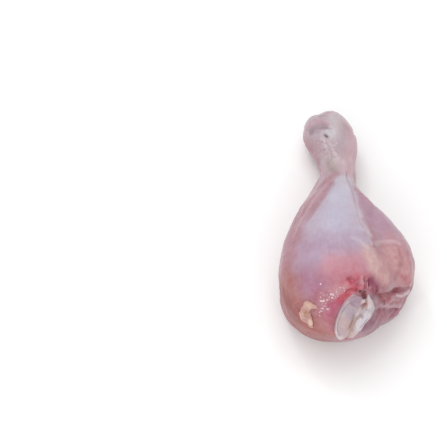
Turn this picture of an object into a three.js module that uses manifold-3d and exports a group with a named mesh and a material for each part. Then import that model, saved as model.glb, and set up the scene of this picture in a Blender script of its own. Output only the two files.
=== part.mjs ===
// A raw, skinned chicken drumstick that lies on a level surface.
// Millimetres. X runs across, Y from the knee end to the ankle end, Z up.
// Four pieces: the meat with its ankle knuckle, the shin bone that runs through it
// from the knee cut, and the gristle cap and ligament stump that sit on the cut.

import * as THREE from "three";
import Module from "manifold-3d";
import { mergeVertices } from "three/addons/utils/BufferGeometryUtils.js";

const wasm = await Module();
wasm.setup();

// Driving dimensions. Every place and size below is a share of these three.
const LENGTH = 128; // knee end to ankle end
const WIDTH = 62; // across the thickest part of the meat
const HEIGHT = 44; // from the surface to the top of the meat

const GAP = 0.3; // clearance between pieces that touch
const HALF_TURN = Math.PI;

// A point from its shares: across from the middle, along from the knee end, up from the surface.
function at(across, along, up) {
  return new THREE.Vector3(across * WIDTH, along * LENGTH, up * HEIGHT);
}

// ---- Shapes -------------------------------------------------------------------------

// A closed body swept along a smooth spine through the given points. sizeAt(t) gives the
// half width and half depth of the oval section at share t of the way; both ends close.
function sweep({ spine, sizeAt, rings, around }) {
  const curve = new THREE.CatmullRomCurve3(spine, false, "centripetal");
  const positions = [];
  const faces = [];
  const up = new THREE.Vector3(0, 0, 1);

  positions.push(...curve.getPointAt(0));
  for (let i = 1; i < rings; i++) {
    // Rings crowd towards the two ends, where the surface turns fastest.
    const t = (1 - Math.cos((HALF_TURN * i) / rings)) / 2;
    const centre = curve.getPointAt(t);
    const along = curve.getTangentAt(t);
    const side = new THREE.Vector3().crossVectors(along, up).normalize();
    const rise = new THREE.Vector3().crossVectors(side, along);
    const { width, depth } = sizeAt(t);
    for (let j = 0; j < around; j++) {
      const angle = (2 * HALF_TURN * j) / around;
      const point = centre
        .clone()
        .addScaledVector(side, width * Math.cos(angle))
        .addScaledVector(rise, depth * Math.sin(angle));
      positions.push(...point);
    }
  }
  positions.push(...curve.getPointAt(1));

  const last = positions.length / 3 - 1;
  const onRing = (i, j) => 1 + (i - 1) * around + (j % around);
  for (let j = 0; j < around; j++) {
    faces.push(0, onRing(1, j), onRing(1, j + 1));
    faces.push(last, onRing(rings - 1, j + 1), onRing(rings - 1, j));
    for (let i = 1; i < rings - 1; i++) {
      faces.push(onRing(i, j), onRing(i + 1, j), onRing(i + 1, j + 1));
      faces.push(onRing(i, j), onRing(i + 1, j + 1), onRing(i, j + 1));
    }
  }
  const geometry = new THREE.BufferGeometry();
  geometry.setAttribute("position", new THREE.Float32BufferAttribute(positions, 3));
  geometry.setIndex(faces);
  return geometry;
}

// From 1 at x = 0 down to 0 at x = 1, level at both.
function fade(x) {
  return x >= 1 ? 0 : (1 + Math.cos(HALF_TURN * x)) / 2;
}

// The quarter circle that closes an end: 0 at x = 0 and 1 from x = 1 on.
function roundOff(x) {
  return x >= 1 ? 1 : Math.sqrt(1 - (1 - x) ** 2);
}

const TENDON_TIP = 0.06; // share of a muscle's length over which its tendon closes

// A muscle swells from a blunt end to its peak, then falls away to a tendon that is a
// given share of its full size. The lower the blunt exponent, the squarer the end.
function muscle({ spine, width, depth, peak, blunt, tendon, detail = 1 }) {
  return sweep({
    spine,
    rings: Math.round(16 * detail),
    around: Math.round(24 * detail),
    sizeAt: (t) => {
      const share =
        t < peak
          ? Math.sin((HALF_TURN / 2) * (t / peak)) ** blunt
          : tendon + (1 - tendon) * fade((t - peak) / (1 - peak));
      const closed = share * roundOff((1 - t) / TENDON_TIP);
      return { width: width * WIDTH * closed, depth: depth * HEIGHT * closed };
    },
  });
}

// A rounded lump, full in the middle. The lower the exponent, the squarer its ends.
function lump({ spine, width, depth, blunt, grown = 0 }) {
  return sweep({
    spine,
    rings: 12,
    around: 20,
    sizeAt: (t) => {
      const share = Math.sin(HALF_TURN * t) ** blunt;
      return { width: (width * WIDTH + grown) * share, depth: (depth * HEIGHT + grown) * share };
    },
  });
}

// ---- Joining and cutting ------------------------------------------------------------

function toSolid(geometry) {
  const merged = mergeVertices(geometry, 1e-4);
  return new wasm.Manifold(
    new wasm.Mesh({
      numProp: 3,
      vertProperties: merged.attributes.position.array,
      triVerts: new Uint32Array(merged.index.array),
    }),
  );
}

function toGeometry(solid) {
  const mesh = solid.getMesh();
  const geometry = new THREE.BufferGeometry();
  geometry.setAttribute("position", new THREE.BufferAttribute(mesh.vertProperties, 3));
  geometry.setIndex(new THREE.BufferAttribute(mesh.triVerts, 1));
  geometry.computeVertexNormals();
  return geometry;
}

function joined(geometries) {
  return geometries.map(toSolid).reduce((whole, next) => whole.add(next));
}

function cutBy(solid, geometries) {
  return geometries.map(toSolid).reduce((whole, next) => whole.subtract(next), solid);
}

// The part of a solid above the surface, with a flat foot where it was pressed down.
function pressedFlat(solid) {
  const slab = new THREE.BoxGeometry(3 * WIDTH, 3 * LENGTH, HEIGHT);
  slab.deleteAttribute("normal");
  slab.deleteAttribute("uv");
  slab.translate(0, LENGTH / 2, -HEIGHT / 2);
  return cutBy(solid, [slab]);
}

// ---- Meat ---------------------------------------------------------------------------

// The big inner calf: the round front and left of the drumstick.
const innerCalf = muscle({
  spine: [
    at(-0.06, 0.03, 0.43),
    at(-0.07, 0.22, 0.49),
    at(-0.085, 0.465, 0.455),
    at(-0.005, 0.785, 0.32),
  ],
  width: 0.42,
  depth: 0.51,
  peak: 0.27,
  blunt: 0.34,
  tendon: 0.16,
  detail: 1.4,
});

// The outer calf and long fibular muscle down the right side.
const outerCalf = muscle({
  spine: [
    at(0.205, 0.155, 0.395),
    at(0.28, 0.265, 0.415),
    at(0.155, 0.475, 0.375),
    at(-0.015, 0.725, 0.3),
  ],
  width: 0.225,
  depth: 0.38,
  peak: 0.26,
  blunt: 0.5,
  tendon: 0.25,
  detail: 1.2,
});

// The flap of flesh under the outer calf, beside the knee cut.
const kneeFlap = lump({
  spine: [
    at(-0.015, 0.12, 0.32),
    at(0.235, 0.165, 0.36),
    at(0.42, 0.245, 0.375),
  ],
  width: 0.13,
  depth: 0.28,
  blunt: 0.5,
});

// The shin muscle: a band down the left of the neck.
const shinBand = muscle({
  spine: [
    at(-0.325, 0.255, 0.415),
    at(-0.275, 0.425, 0.415),
    at(-0.135, 0.615, 0.365),
    at(-0.015, 0.805, 0.3),
  ],
  width: 0.1,
  depth: 0.2,
  peak: 0.4,
  blunt: 0.8,
  tendon: 0.4,
});

// The underside, which the drumstick lies on.
const underCalf = muscle({
  spine: [
    at(-0.14, 0.05, 0.27),
    at(-0.1, 0.215, 0.245),
    at(0.005, 0.6, 0.24),
  ],
  width: 0.38,
  depth: 0.27,
  peak: 0.3,
  blunt: 0.35,
  tendon: 0.25,
});

// Sinew and film round the bone between the meat and the knuckle.
const neck = lump({
  spine: [
    at(-0.025, 0.52, 0.33),
    at(-0.005, 0.725, 0.29),
    at(-0.025, 0.935, 0.26),
  ],
  width: 0.135,
  depth: 0.18,
  blunt: 0.2,
});

// The two ends of the ankle joint under their film.
const largeKnuckle = lump({
  spine: [
    at(-0.005, 0.69, 0.27),
    at(-0.015, 0.84, 0.27),
    at(-0.065, 1, 0.27),
  ],
  width: 0.175,
  depth: 0.27,
  blunt: 0.52,
});
const smallKnuckle = lump({
  spine: [
    at(-0.03, 0.8, 0.25),
    at(-0.125, 0.89, 0.25),
    at(-0.165, 0.98, 0.25),
  ],
  width: 0.13,
  depth: 0.235,
  blunt: 0.5,
});

const flesh = [
  innerCalf,
  outerCalf,
  kneeFlap,
  shinBand,
  underCalf,
  neck,
  largeKnuckle,
  smallKnuckle,
];

// ---- Bone and joint end -------------------------------------------------------------

const KNEE = at(-0.045, 0.05, 0.675); // middle of the shin bone's flat head
const KNEE_FACES = new THREE.Vector3(0.05, -0.8, 0.6).normalize(); // out of the knee cut
const CAP_DEEP = 0.019 * LENGTH; // how far the gristle cap reaches into the knee
const CAP_PROUD = 0.023 * LENGTH; // how far it stands out of the bone's head
const HEAD_STRAIGHT = 0.103 * LENGTH; // stretch of bone that runs square to the cut
const HEAD_RADIUS = 0.105 * WIDTH;
const SHAFT_RADIUS = 0.062 * WIDTH;
const ANKLE_RADIUS = 0.085 * WIDTH;
const FLARE = 0.13; // share of the bone over which an end widens
const END_ROUND = 0.035; // share of the bone over which an end closes

function shinBone(grown) {
  const spine = [
    KNEE.clone(),
    KNEE.clone().addScaledVector(KNEE_FACES, -HEAD_STRAIGHT),
    at(-0.025, 0.425, 0.395),
    at(-0.035, 0.69, 0.3),
    at(-0.045, 0.895, 0.26),
  ];
  return sweep({
    spine: grownEnds(spine, grown),
    rings: 22,
    around: 20,
    sizeAt: (t) => {
      const head = (HEAD_RADIUS - SHAFT_RADIUS) * fade(t / FLARE);
      const ankle = (ANKLE_RADIUS - SHAFT_RADIUS) * fade((1 - t) / FLARE);
      const close = roundOff(Math.min(t, 1 - t) / END_ROUND);
      const radius = (SHAFT_RADIUS + head + ankle + grown) * close;
      return { width: radius, depth: radius };
    },
  });
}

// The same spine with both end points moved out, for a body grown by a clearance.
function grownEnds(spine, grown) {
  const stretched = spine.map((point) => point.clone());
  const [first, second] = spine;
  const [last, beforeLast] = [...spine].reverse();
  stretched[0].addScaledVector(first.clone().sub(second).normalize(), grown);
  stretched[spine.length - 1].addScaledVector(last.clone().sub(beforeLast).normalize(), grown);
  return stretched;
}

// The white gristle cap on the bone's head.
function gristleCap(grown) {
  return lump({
    spine: grownEnds(
      [
        KNEE.clone().addScaledVector(KNEE_FACES, -CAP_DEEP),
        KNEE.clone().addScaledVector(KNEE_FACES, CAP_PROUD),
      ],
      grown,
    ),
    width: 0.1,
    depth: 0.22,
    blunt: 0.35,
    grown,
  });
}

// The stump of the knee ligament beside the cap.
function ligamentStump(grown) {
  return lump({
    spine: grownEnds(
      [at(0.055, 0.105, 0.85), at(0.085, 0.068, 0.69), at(0.055, 0.054, 0.46)],
      grown,
    ),
    width: 0.085,
    depth: 0.09,
    blunt: 0.6,
    grown,
  });
}

// ---- The drumstick ------------------------------------------------------------------

const colours = {
  meat: { color: 0xc68a90, roughness: 0.35 },
  shin_bone: { color: 0xe6d9cf, roughness: 0.5 },
  knee_gristle: { color: 0xe0d3d6, roughness: 0.3 },
  knee_ligament: { color: 0xe9e4e8, roughness: 0.3 },
};

const solids = {
  meat: cutBy(pressedFlat(joined(flesh)), [
    shinBone(GAP),
    gristleCap(GAP),
    ligamentStump(GAP),
  ]),
  shin_bone: toSolid(shinBone(0)),
  knee_gristle: cutBy(toSolid(gristleCap(0)), [shinBone(GAP)]),
  knee_ligament: cutBy(toSolid(ligamentStump(0)), [shinBone(GAP), gristleCap(GAP)]),
};

const drumstick = new THREE.Group();
for (const [name, solid] of Object.entries(solids)) {
  const material = new THREE.MeshStandardMaterial({ ...colours[name], metalness: 0 });
  const mesh = new THREE.Mesh(toGeometry(solid), material);
  mesh.name = name;
  drumstick.add(mesh);
}

// The origin is the middle of the whole drumstick's footprint, on the surface.
const box = new THREE.Box3().setFromObject(drumstick);
const middle = box.getCenter(new THREE.Vector3());
drumstick.position.set(-middle.x, -middle.y, -box.min.z);

export default drumstick;
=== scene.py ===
# A raw, skinned chicken drumstick: flesh under its film, knee gristle, sinew, fat and blood.
# Metres. X runs across, Y from the knee end to the ankle knuckle, Z up.

import math

import bpy
import numpy as np
from mathutils import Matrix, Vector, noise
from mathutils.bvhtree import BVHTree


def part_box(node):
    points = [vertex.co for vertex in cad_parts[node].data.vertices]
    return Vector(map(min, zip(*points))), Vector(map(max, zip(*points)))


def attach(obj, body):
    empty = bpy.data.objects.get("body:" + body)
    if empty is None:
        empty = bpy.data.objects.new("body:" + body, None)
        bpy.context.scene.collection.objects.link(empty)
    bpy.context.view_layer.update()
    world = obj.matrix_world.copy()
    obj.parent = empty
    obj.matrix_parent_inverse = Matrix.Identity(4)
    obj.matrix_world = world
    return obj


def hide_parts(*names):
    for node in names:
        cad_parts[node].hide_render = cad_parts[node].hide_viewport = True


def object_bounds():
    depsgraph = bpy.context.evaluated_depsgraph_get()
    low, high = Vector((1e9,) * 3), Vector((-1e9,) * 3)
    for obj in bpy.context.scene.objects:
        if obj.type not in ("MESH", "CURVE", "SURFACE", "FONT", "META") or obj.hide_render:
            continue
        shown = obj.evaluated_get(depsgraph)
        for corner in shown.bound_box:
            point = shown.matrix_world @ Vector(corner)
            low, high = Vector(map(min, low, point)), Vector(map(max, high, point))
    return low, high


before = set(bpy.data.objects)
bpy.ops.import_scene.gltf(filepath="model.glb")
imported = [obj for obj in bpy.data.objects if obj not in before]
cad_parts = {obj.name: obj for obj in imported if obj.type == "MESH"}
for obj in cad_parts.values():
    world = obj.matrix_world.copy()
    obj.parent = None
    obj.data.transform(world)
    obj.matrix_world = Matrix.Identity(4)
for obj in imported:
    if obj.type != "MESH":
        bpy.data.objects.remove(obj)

# ---- Measures -------------------------------------------------------------------------

CAD_LOW, CAD_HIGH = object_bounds()
MIDDLE = (CAD_LOW + CAD_HIGH) / 2
WIDTH = CAD_HIGH.x - CAD_LOW.x
LENGTH = CAD_HIGH.y - CAD_LOW.y
MM = 0.001

# Marks on the flesh are laid out as on a flat sheet held over the drumstick, square to the
# line of sight of someone who looks down on it from the knee end.
SIGHT = (0, 60)  # azimuth and elevation in degrees
LEFT_SIDE = (-90, 15)
RIGHT_SIDE = (90, 15)
UNDERSIDE = (0, -89)
FAR_SIDE = (180, 35)


# ---- Camera ---------------------------------------------------------------------------


def axes_of(azimuth, elevation):
    """The right, up and back directions of someone who looks from there."""
    a = math.radians(azimuth)
    e = math.radians(elevation)
    back = Vector((math.sin(a) * math.cos(e), -math.cos(a) * math.cos(e), math.sin(e)))
    right = Vector((math.cos(a), math.sin(a), 0))
    return right, back.cross(right), back


def stand(data, sight, distance, aside=0.0, higher=0.0):
    """Puts a camera or a light on a line of sight to the drumstick's middle, facing it."""
    placed = bpy.data.objects.new(data.name, data)
    bpy.context.scene.collection.objects.link(placed)
    right, up, back = axes_of(*sight)
    turn = Matrix((right, up, back)).transposed().to_4x4()
    place = MIDDLE + back * distance + right * aside + up * higher
    placed.matrix_world = Matrix.Translation(place) @ turn
    return placed


def add_camera():
    """The camera, set so that the drumstick lies right of the middle and a little above."""
    data = bpy.data.cameras.new("camera")
    data.lens = 90
    data.clip_start = 10 * MM
    camera = stand(data, SIGHT, distance=511 * MM, aside=-55.1 * MM, higher=-4.3 * MM)
    bpy.context.scene.camera = camera


# ---- Modelling helpers ----------------------------------------------------------------


def pick_only(*pieces):
    """Selects these objects and no others, and makes the first one active."""
    for other in list(bpy.context.selected_objects):
        other.select_set(False)
    for piece in pieces:
        piece.select_set(True)
    bpy.context.view_layer.objects.active = pieces[0]


def modify(piece, kind, **settings):
    """Adds a modifier with these settings and applies it."""
    modifier = piece.modifiers.new(kind.lower(), kind)
    for key, value in settings.items():
        setattr(modifier, key, value)
    pick_only(piece)
    bpy.ops.object.modifier_apply(modifier=modifier.name)


def cloud(name, size):
    """A soft noise for Displace, with lumps of the given size in metres."""
    texture = bpy.data.textures.new(name, "CLOUDS")
    texture.noise_scale = size
    texture.noise_depth = 2
    return texture


def places(piece):
    """The piece's points, one row each."""
    points = np.empty(len(piece.data.vertices) * 3)
    piece.data.vertices.foreach_get("co", points)
    return points.reshape(-1, 3)


def set_weights(piece, name, weights):
    """A vertex group with one weight for each point, leaving out the points near zero."""
    least = 0.001
    group = piece.vertex_groups.new(name=name)
    for index in np.flatnonzero(weights > least):
        group.add([int(index)], float(weights[index]), "REPLACE")


def finished(piece, slot, material, *stands_for):
    """Hands a finished piece over: its material, its body and what it stands for; the slot is
    not used.
    """
    piece.data.materials.clear()
    piece.data.materials.append(material)
    for polygon in piece.data.polygons:
        polygon.use_smooth = True
    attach(piece, "root")
    if stands_for:
        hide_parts(*stands_for)


# ---- Marks on the skinned surface -----------------------------------------------------


class Surface:
    """Finds places on a piece from shares of the drumstick's width and length."""

    def __init__(self, piece):
        self.tree = BVHTree.FromPolygons(
            [v.co for v in piece.data.vertices],
            [p.vertices for p in piece.data.polygons],
        )

    def spot(self, across, along, sight=SIGHT):
        """The place on the surface under a point of the sheet, and its outward normal."""
        right, up, back = axes_of(*sight)
        over = MIDDLE + right * (across * WIDTH) + up * (along * LENGTH) + back * LENGTH
        place, normal, _, _ = self.tree.ray_cast(over, -back)
        if place is None:
            place, normal, _, _ = self.tree.find_nearest(over - back * LENGTH)
        return place, normal

    def normal_at(self, place):
        """The outward normal of the surface nearest to a place."""
        return self.tree.find_nearest(place)[1]

    def path(self, marks, sight=SIGHT, steps=10):
        """A smooth line over the surface through these sheet points, as rows of places."""
        row = np.array([self.spot(*mark, sight)[0] for mark in marks])
        ends = np.vstack([2 * row[0] - row[1], row, 2 * row[-1] - row[-2]])
        line = []
        for a, b, c, d in zip(ends, ends[1:], ends[2:], ends[3:]):
            for t in np.arange(steps) / steps:
                line.append(
                    0.5 * (2 * b + (c - a) * t + (2 * a - 5 * b + 4 * c - d) * t ** 2
                           + (3 * b - a - 3 * c + d) * t ** 3)
                )
        line.append(row[-1])
        return np.array(line)


THINNEST = 0.15  # a tapered line's width at its very ends, as a share of its full width


def nearness(points, line, reach, taper=0.0):
    """For each point, 1 on the line and fading to 0 at reach; taper thins the line's ends."""
    near = np.zeros(len(points))
    low = line.min(0) - reach
    high = line.max(0) + reach
    inside = np.flatnonzero(((points > low) & (points < high)).all(1))
    if len(inside) == 0:
        return near
    near_points = points[inside]
    best = np.full(len(inside), np.inf)
    count = len(line) - 1
    for index in range(count):
        step = line[index + 1] - line[index]
        share = np.clip((near_points - line[index]) @ step / (step @ step + 1e-12), 0, 1)
        distance = np.linalg.norm(near_points - line[index] - share[:, None] * step, axis=1)
        gone = (index + share) / count
        end = np.clip(np.minimum(gone, 1 - gone) / taper, 0, 1) if taper else 1
        width = THINNEST + (1 - THINNEST) * end ** 0.5
        best = np.minimum(best, distance / (reach * width))
    fade = np.clip(1 - best, 0, 1)
    near[inside] = fade * fade * (3 - 2 * fade)
    return near


def colour(code):
    """A linear colour from its six-digit display code."""
    shares = np.array([int(code[i:i + 2], 16) / 255 for i in (0, 2, 4)])
    return np.where(shares <= 0.04045, shares / 12.92, ((shares + 0.055) / 1.055) ** 2.4)


# ---- The flesh: form ------------------------------------------------------------------


def block_out_flesh():
    """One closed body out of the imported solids, with its creases softened. Softening draws
    it in, so it is swelled back to size."""
    weld = 0.01 * MM
    voxel = 1.05 * MM
    swell = 0.3 * MM
    copies = []
    for name in ("meat", "shin_bone", "knee_gristle", "knee_ligament"):
        part = bpy.data.objects.new(name + "_copy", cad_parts[name].data.copy())
        bpy.context.scene.collection.objects.link(part)
        copies.append(part)
    flesh = copies[0]
    pick_only(*copies)
    bpy.ops.object.join()
    flesh.name = "flesh"
    bpy.ops.object.mode_set(mode="EDIT")
    bpy.ops.mesh.select_all(action="SELECT")
    bpy.ops.mesh.remove_doubles(threshold=weld)
    bpy.ops.object.mode_set(mode="OBJECT")
    modify(flesh, "REMESH", mode="VOXEL", voxel_size=voxel)
    modify(flesh, "SMOOTH", factor=0.5, iterations=14)
    modify(flesh, "DISPLACE", strength=swell, mid_level=0)
    modify(flesh, "SUBSURF", levels=1, render_levels=1)
    return flesh


# Three white edges where films meet, which are both relief and colour.
FILM_CORNER = [(0.0, -0.080), (0.05, -0.090), (0.09, -0.105), (0.12, -0.125)]
LOBE_EDGE = [(0.16, -0.105), (0.20, -0.098), (0.25, -0.096), (0.32, -0.099), (0.38, -0.112)]
FOLD_EDGE = [(0.16, -0.32), (0.20, -0.311), (0.26, -0.312), (0.34, -0.317), (0.38, -0.315)]

# Each line of relief: its points on the sheet, its reach and its height in millimetres.
# A height below zero is a groove.
RELIEF = (
    # groove between the calf's film and the outer muscle
    ([(0.045, 0.15), (0.085, 0.08), (0.09, 0.03), (0.10, -0.03), (0.15, -0.09)], 2.6, -1.2),
    ([(0.13, 0.06), (0.16, 0.0), (0.19, -0.05)], 5, -0.5),
    # the shin muscle, a band that runs down the left of the film, and the groove beside it
    ([(-0.06, 0.13), (-0.17, 0.075), (-0.27, 0.015), (-0.34, -0.04), (-0.40, -0.10)], 3.0, 0.6),
    ([(-0.04, 0.12), (-0.13, 0.072), (-0.23, 0.012), (-0.30, -0.04)], 1.5, -0.4),
    ([(-0.09, 0.135), (-0.20, 0.085), (-0.31, 0.025), (-0.38, -0.04)], 1.4, -0.35),
    # the outer muscle and the lobe below it, with the crease between them
    ([(0.2, 0.03), (0.29, -0.04)], 8, 0.6),
    ([(0.16, -0.11), (0.22, -0.107), (0.29, -0.104), (0.38, -0.112)], 2.0, -0.6),
    ([(0.27, -0.15), (0.3, -0.19)], 8, 0.7),
    ([(0.35, -0.12), (0.372, -0.15), (0.355, -0.185), (0.36, -0.22)], 2.6, -0.4),
    ([(0.41, -0.15), (0.43, -0.2), (0.43, -0.235)], 4, 0.6),
    # the fatty patch beside the film's lower corner
    ([(0.12, -0.125), (0.15, -0.155), (0.18, -0.19)], 4.5, 0.6),
    ([(0.20, -0.205), (0.24, -0.222), (0.26, -0.236)], 3.2, 0.6),
    ([(0.19, -0.13), (0.205, -0.17), (0.215, -0.195)], 1.6, -0.35),
    ([(0.15, -0.20), (0.175, -0.235), (0.22, -0.25)], 1.4, -0.6),
    # the deep crease to the right of the knee and the folds under it
    ([(0.14, -0.270), (0.20, -0.276), (0.26, -0.270), (0.33, -0.260), (0.44, -0.252)], 2.1, -1.4),
    ([(0.31, -0.270), (0.36, -0.274), (0.40, -0.273), (0.45, -0.266)], 1.4, 1.0),
    ([(0.16, -0.285), (0.2, -0.29), (0.22, -0.30)], 3, -0.5),
    ([(0.25, -0.29), (0.32, -0.295), (0.38, -0.29)], 4, 0.5),
    ([(0.16, -0.325), (0.21, -0.322), (0.27, -0.328), (0.35, -0.326)], 1.7, -0.9),
    ([(0.2, -0.35), (0.28, -0.352), (0.35, -0.345)], 5, 0.6),
    ([(0.19, -0.335), (0.23, -0.36), (0.21, -0.39)], 1.6, -0.4),
    # the bed of the cartilage, and flesh drawn in round it
    ([(-0.10, -0.40), (-0.06, -0.345), (-0.01, -0.30)], 6.5, -2.2),
    ([(-0.05, -0.42), (-0.01, -0.39)], 3.5, -1.6),
    ([(-0.16, -0.30), (-0.175, -0.34), (-0.16, -0.39), (-0.12, -0.43)], 2.4, 0.5),
    ([(0.12, -0.275), (0.17, -0.30), (0.185, -0.325), (0.14, -0.37)], 2.0, -0.8),
    # wrinkles where the flesh is drawn in over the knee
    ([(0.03, -0.212), (0.045, -0.25)], 1.1, -0.9),
    ([(0.062, -0.205), (0.064, -0.235)], 0.9, 0.6),
    ([(0.08, -0.208), (0.075, -0.255)], 1.2, -1.1),
    ([(0.115, -0.215), (0.10, -0.25)], 1.3, -1.0),
    ([(0.14, -0.21), (0.16, -0.235), (0.15, -0.26)], 1.5, -0.8),
    ([(-0.05, -0.215), (0.0, -0.213), (0.02, -0.235)], 1.2, -0.7),
    ([(-0.06, -0.232), (-0.02, -0.24), (0.01, -0.252)], 1.6, 0.8),
    ([(-0.06, -0.258), (0.0, -0.252), (0.05, -0.262)], 1.3, -0.7),
    # white edges where films meet: beside the groove, at the film's corner, over the lobe
    # and over the lowest fold
    ([(0.055, 0.14), (0.078, 0.08), (0.075, 0.03), (0.082, -0.02), (0.12, -0.07),
      (0.15, -0.11)], 2.0, 0.25),
    (FILM_CORNER, 1.4, 0.1),
    (LOBE_EDGE, 1.4, 0.2),
    (FOLD_EDGE, 1.5, 0.35),
    # film ridges and the small pit on the ankle knuckle
    ([(-0.24, 0.318), (-0.21, 0.346), (-0.15, 0.355), (-0.10, 0.349), (-0.05, 0.335)], 2.2, 1.2),
    ([(-0.23, 0.298), (-0.19, 0.326), (-0.13, 0.331), (-0.06, 0.321)], 2.2, -1.0),
    ([(-0.14, 0.305), (-0.10, 0.306), (-0.06, 0.29), (-0.05, 0.265)], 1.3, 0.4),
    ([(-0.118, 0.304), (-0.088, 0.284)], 1.2, -1.5),
    ([(-0.14, 0.27), (-0.09, 0.255), (-0.07, 0.22)], 1.5, -0.5),
    ([(0.03, 0.20), (0.05, 0.165), (0.04, 0.14)], 2.5, 0.4),
    ([(-0.10, 0.19), (-0.06, 0.17), (-0.03, 0.15)], 2.0, -0.4),
)

# Places with many small wrinkles, raised and sunk: middle and spread on the sheet, number,
# size and height in millimetres.
ROUGH_PLACES = (
    ((-0.10, 0.235), (0.05, 0.035), 30, 0.8, 0.35),  # wrinkled film above the neck
    ((-0.18, -0.28), (0.08, 0.02), 30, 1.0, 0.2),  # uneven film over the knee
    ((-0.30, -0.33), (0.05, 0.03), 12, 1.0, 0.25),  # round the fat
    ((0.05, -0.235), (0.06, 0.016), 22, 0.9, 0.35),  # torn flesh over the knee
    ((0.15, -0.255), (0.04, 0.012), 10, 0.9, 0.35),
    ((0.27, -0.30), (0.06, 0.015), 12, 1.0, 0.25),
)

# Relief on the sides that the front's sheet doesn't reach.
SIDE_RELIEF = (
    (LEFT_SIDE, (
        ([(0.95, -0.06), (0.6, -0.075), (0.2, -0.06), (-0.05, -0.02)], 3.5, -0.8),
        ([(0.7, 0.02), (0.4, 0.0), (0.1, 0.01)], 6, 0.5),
        ([(0.1, 0.03), (-0.2, 0.0), (-0.5, -0.02)], 1.8, 0.5),
        ([(-0.75, -0.03), (-0.8, -0.08), (-0.9, -0.12)], 3, -0.6),
    )),
    (RIGHT_SIDE, (
        ([(-0.85, -0.05), (-0.5, -0.075), (-0.1, -0.06), (0.15, -0.03)], 3.5, -0.9),
        ([(-0.6, 0.0), (-0.3, 0.01)], 7, 0.5),
        ([(0.05, 0.0), (0.35, -0.03), (0.65, -0.04)], 1.8, 0.6),
        ([(0.1, -0.03), (0.4, -0.055), (0.6, -0.065)], 1.4, 0.5),
        ([(0.78, -0.03), (0.82, -0.08), (0.95, -0.12)], 3, -0.5),
    )),
    (FAR_SIDE, (
        ([(-0.05, -0.375), (0.05, -0.385), (0.12, -0.375)], 2.4, -0.9),
        ([(0.0, -0.345), (0.08, -0.34), (0.16, -0.35)], 2.4, 0.3),
        # a blunter end to the knuckle
        ([(0.055, -0.351), (0.08, -0.353)], 6, -0.9),
        ([(-0.02, -0.405), (0.03, -0.425), (0.10, -0.425), (0.16, -0.405)], 7, 1.9),
        ([(0.0, -0.265), (0.07, -0.255), (0.13, -0.265)], 7, 0.7),
    )),
)


def shape_flesh(flesh, skin):
    """Raises and sinks the flesh along its lines of relief, then roughens it a little."""
    taper = 0.3
    points = places(flesh)
    height = np.zeros(len(points))
    for sight, lines in ((SIGHT, RELIEF), *SIDE_RELIEF):
        for marks, reach, rise in lines:
            height += nearness(points, skin.path(marks, sight), reach * MM, taper) * rise
    dice = np.random.default_rng(7)
    for centre, spread, number, size, rise in ROUGH_PLACES:
        for _ in range(number):
            x, y = np.array(centre) + np.array(spread) * dice.normal(0, 0.6, 2)
            turn = dice.uniform(0, math.pi)
            reach = size * dice.uniform(0.7, 1.5)
            step = np.array([math.cos(turn) / WIDTH, math.sin(turn) / LENGTH]) * reach * MM
            marks = [(x - step[0], y - step[1]), (x + step[0], y + step[1])]
            near = nearness(points, skin.path(marks, steps=4), reach * MM, taper)
            height += near * rise * dice.choice([-1, 1])
    most = np.abs(height).max()
    set_weights(flesh, "raised", np.clip(height, 0, None) / most)
    set_weights(flesh, "sunk", np.clip(-height, 0, None) / most)
    modify(flesh, "DISPLACE", strength=most * MM, mid_level=0, vertex_group="raised")
    modify(flesh, "DISPLACE", strength=-most * MM, mid_level=0, vertex_group="sunk")
    modify(flesh, "SMOOTH", factor=0.35, iterations=1)
    modify(flesh, "DISPLACE", strength=0.7 * MM, texture=cloud("lumps", 9 * MM))
    modify(flesh, "DISPLACE", strength=0.2 * MM, texture=cloud("dimples", 2.2 * MM))
    flesh.vertex_groups.clear()


def settle(piece):
    """Presses what hangs below the surface flat against it."""
    points = places(piece)
    points[:, 2] = np.maximum(points[:, 2], CAD_LOW.z)
    piece.data.vertices.foreach_set("co", points.ravel())
    piece.data.update()


# ---- Colour ---------------------------------------------------------------------------

# The gloss lays a pale veil over a surface and the light brightens it, so the paint is the
# colour seen less the veil, and a share of that.
GLOSS_VEIL = 0.045
PAINT_SHARE = np.array([0.94, 0.95, 0.96])

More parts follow.
